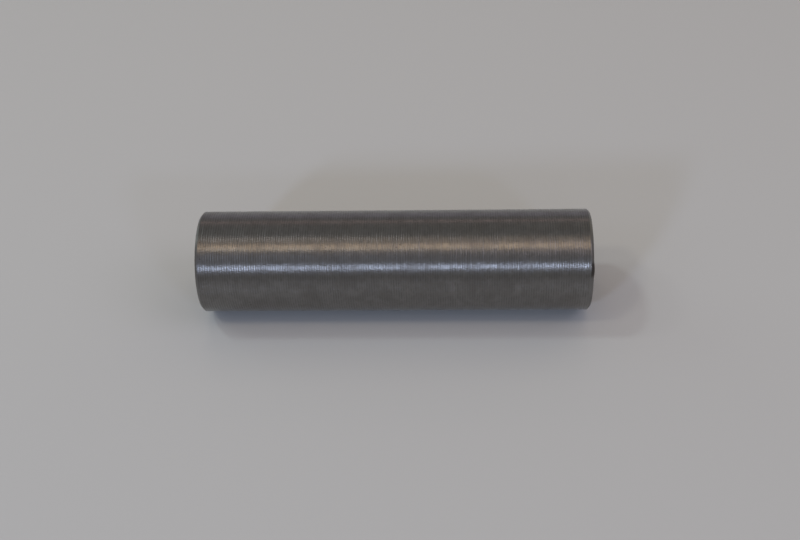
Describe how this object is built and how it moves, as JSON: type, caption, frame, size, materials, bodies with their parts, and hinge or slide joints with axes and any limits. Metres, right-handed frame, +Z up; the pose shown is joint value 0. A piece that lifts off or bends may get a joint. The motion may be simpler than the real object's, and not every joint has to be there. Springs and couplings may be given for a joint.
{
  "type": "dowel sleeve",
  "caption": "Plain round steel sleeve with a bore right through it, small chamfers at both ends and a turned outside.",
  "frame": {"origin": "centre of the lower end face, on the axis of the sleeve", "axes": "+Z up along the axis of the sleeve, from the lower end to the upper end; it is round, so +X and +Y have no meaning of their own"},
  "size_m": [0.0096, 0.0096, 0.0365],
  "materials": {
    "turned_steel": "as turned, with fine feed marks round it, dulled by handling and a thin film of oil"
  },
  "bodies": {
    "root": {"sleeve": "turned_steel"}
  },
  "joints": []
}
